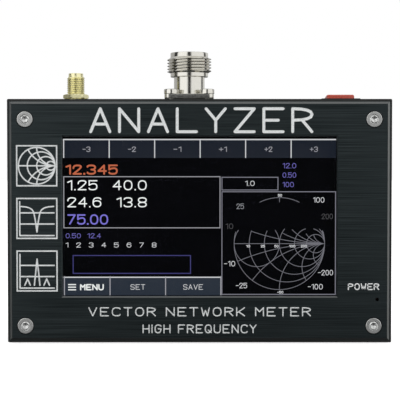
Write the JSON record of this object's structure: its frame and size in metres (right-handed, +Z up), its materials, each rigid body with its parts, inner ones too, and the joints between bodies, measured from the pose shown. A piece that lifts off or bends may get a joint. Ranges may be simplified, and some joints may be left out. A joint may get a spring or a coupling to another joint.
{
  "type": "vector network analyzer",
  "caption": "Pocket antenna analyzer: brushed black box with a touch screen, N and SMA jacks and a rocker switch on its top edge.",
  "frame": {"origin": "middle of the case's bottom face", "axes": "+X to the right, +Y to the back, +Z up; the screen faces -Y and the jacks stand on the top edge"},
  "size_m": [0.135, 0.028, 0.1027],
  "materials": {
    "case_metal": "black anodised, fine horizontal brushing",
    "fastener": "bright machined steel",
    "nickel": "bright nickel plate",
    "gold_plate": "pale gold plate",
    "insulator": "white fluoropolymer",
    "black_plastic": "fine satin",
    "red_plastic": "satin gloss",
    "touch_glass": "clear, glossy",
    "screen": "lit LCD",
    "foam": "matt foam",
    "circuit_board": "solder resist",
    "chip": "moulded epoxy",
    "can": "tinned sheet",
    "ribbon": "amber film",
    "battery_foil": "satin foil",
    "lead_red": "silicone",
    "lead_black": "silicone",
    "copper": "copper jacket",
    "spacer_brass": "turned",
    "light": "tinted epoxy",
    "card": "fine matt"
  },
  "bodies": {
    "case": {"case_frame": "case_metal", "front_panel": "case_metal", "back_panel": "case_metal", "front_screw_1": "fastener", "front_screw_2": "fastener", "front_screw_3": "fastener", "front_screw_4": "fastener", "back_screw_1": "fastener", "back_screw_2": "fastener", "back_screw_3": "fastener", "back_screw_4": "fastener", "n_socket_shell": "nickel", "n_socket_insulator": "insulator", "sma_insulator": "insulator", "n_socket_contact": "gold_plate", "sma_socket_shell": "gold_plate", "sma_contact": "gold_plate", "sma_hex_nut": "gold_plate", "sma_lock_washer": "gold_plate", "n_flange_screw_1": "fastener", "n_flange_screw_2": "fastener", "n_flange_screw_3": "fastener", "n_flange_screw_4": "fastener", "sma_coax_lead": "copper", "switch_housing": "black_plastic", "board_header": "black_plastic", "switch_rocker_pin": "fastener", "switch_terminal_1": "fastener", "switch_terminal_2": "fastener", "touch_panel": "touch_glass", "lcd_module": "screen", "display_gasket": "foam", "battery_pad": "foam", "display_ribbon": "ribbon", "main_board": "circuit_board", "rf_board": "circuit_board", "charger_board": "circuit_board", "processor_chip": "chip", "memory_chip": "chip", "clock_crystal": "can", "rf_shield_can": "can", "card_socket": "can", "data_usb_socket": "can", "charge_usb_socket": "can", "board_standoff_1": "spacer_brass", "board_standoff_2": "spacer_brass", "board_standoff_3": "spacer_brass", "board_standoff_4": "spacer_brass", "board_screw_1": "fastener", "board_screw_2": "fastener", "board_screw_3": "fastener", "board_screw_4": "fastener", "battery_cell": "battery_foil", "battery_lead_red": "lead_red", "battery_lead_black": "lead_black", "charge_led": "light"},
    "rocker": {"switch_rocker": "red_plastic"},
    "card": {"memory_card": "card"}
  },
  "joints": [
    {"name": "switch_rocker_tilt", "type": "hinge", "parent": "case", "child": "rocker", "pos_m": [0.0501, 0, 0.0847], "axis": [1, 0, 0], "range_deg": [0, 13]},
    {"name": "memory_card_slide", "type": "slide", "parent": "case", "child": "card", "axis": [-1, 0, 0], "range_m": [0, 0.011]}
  ]
}
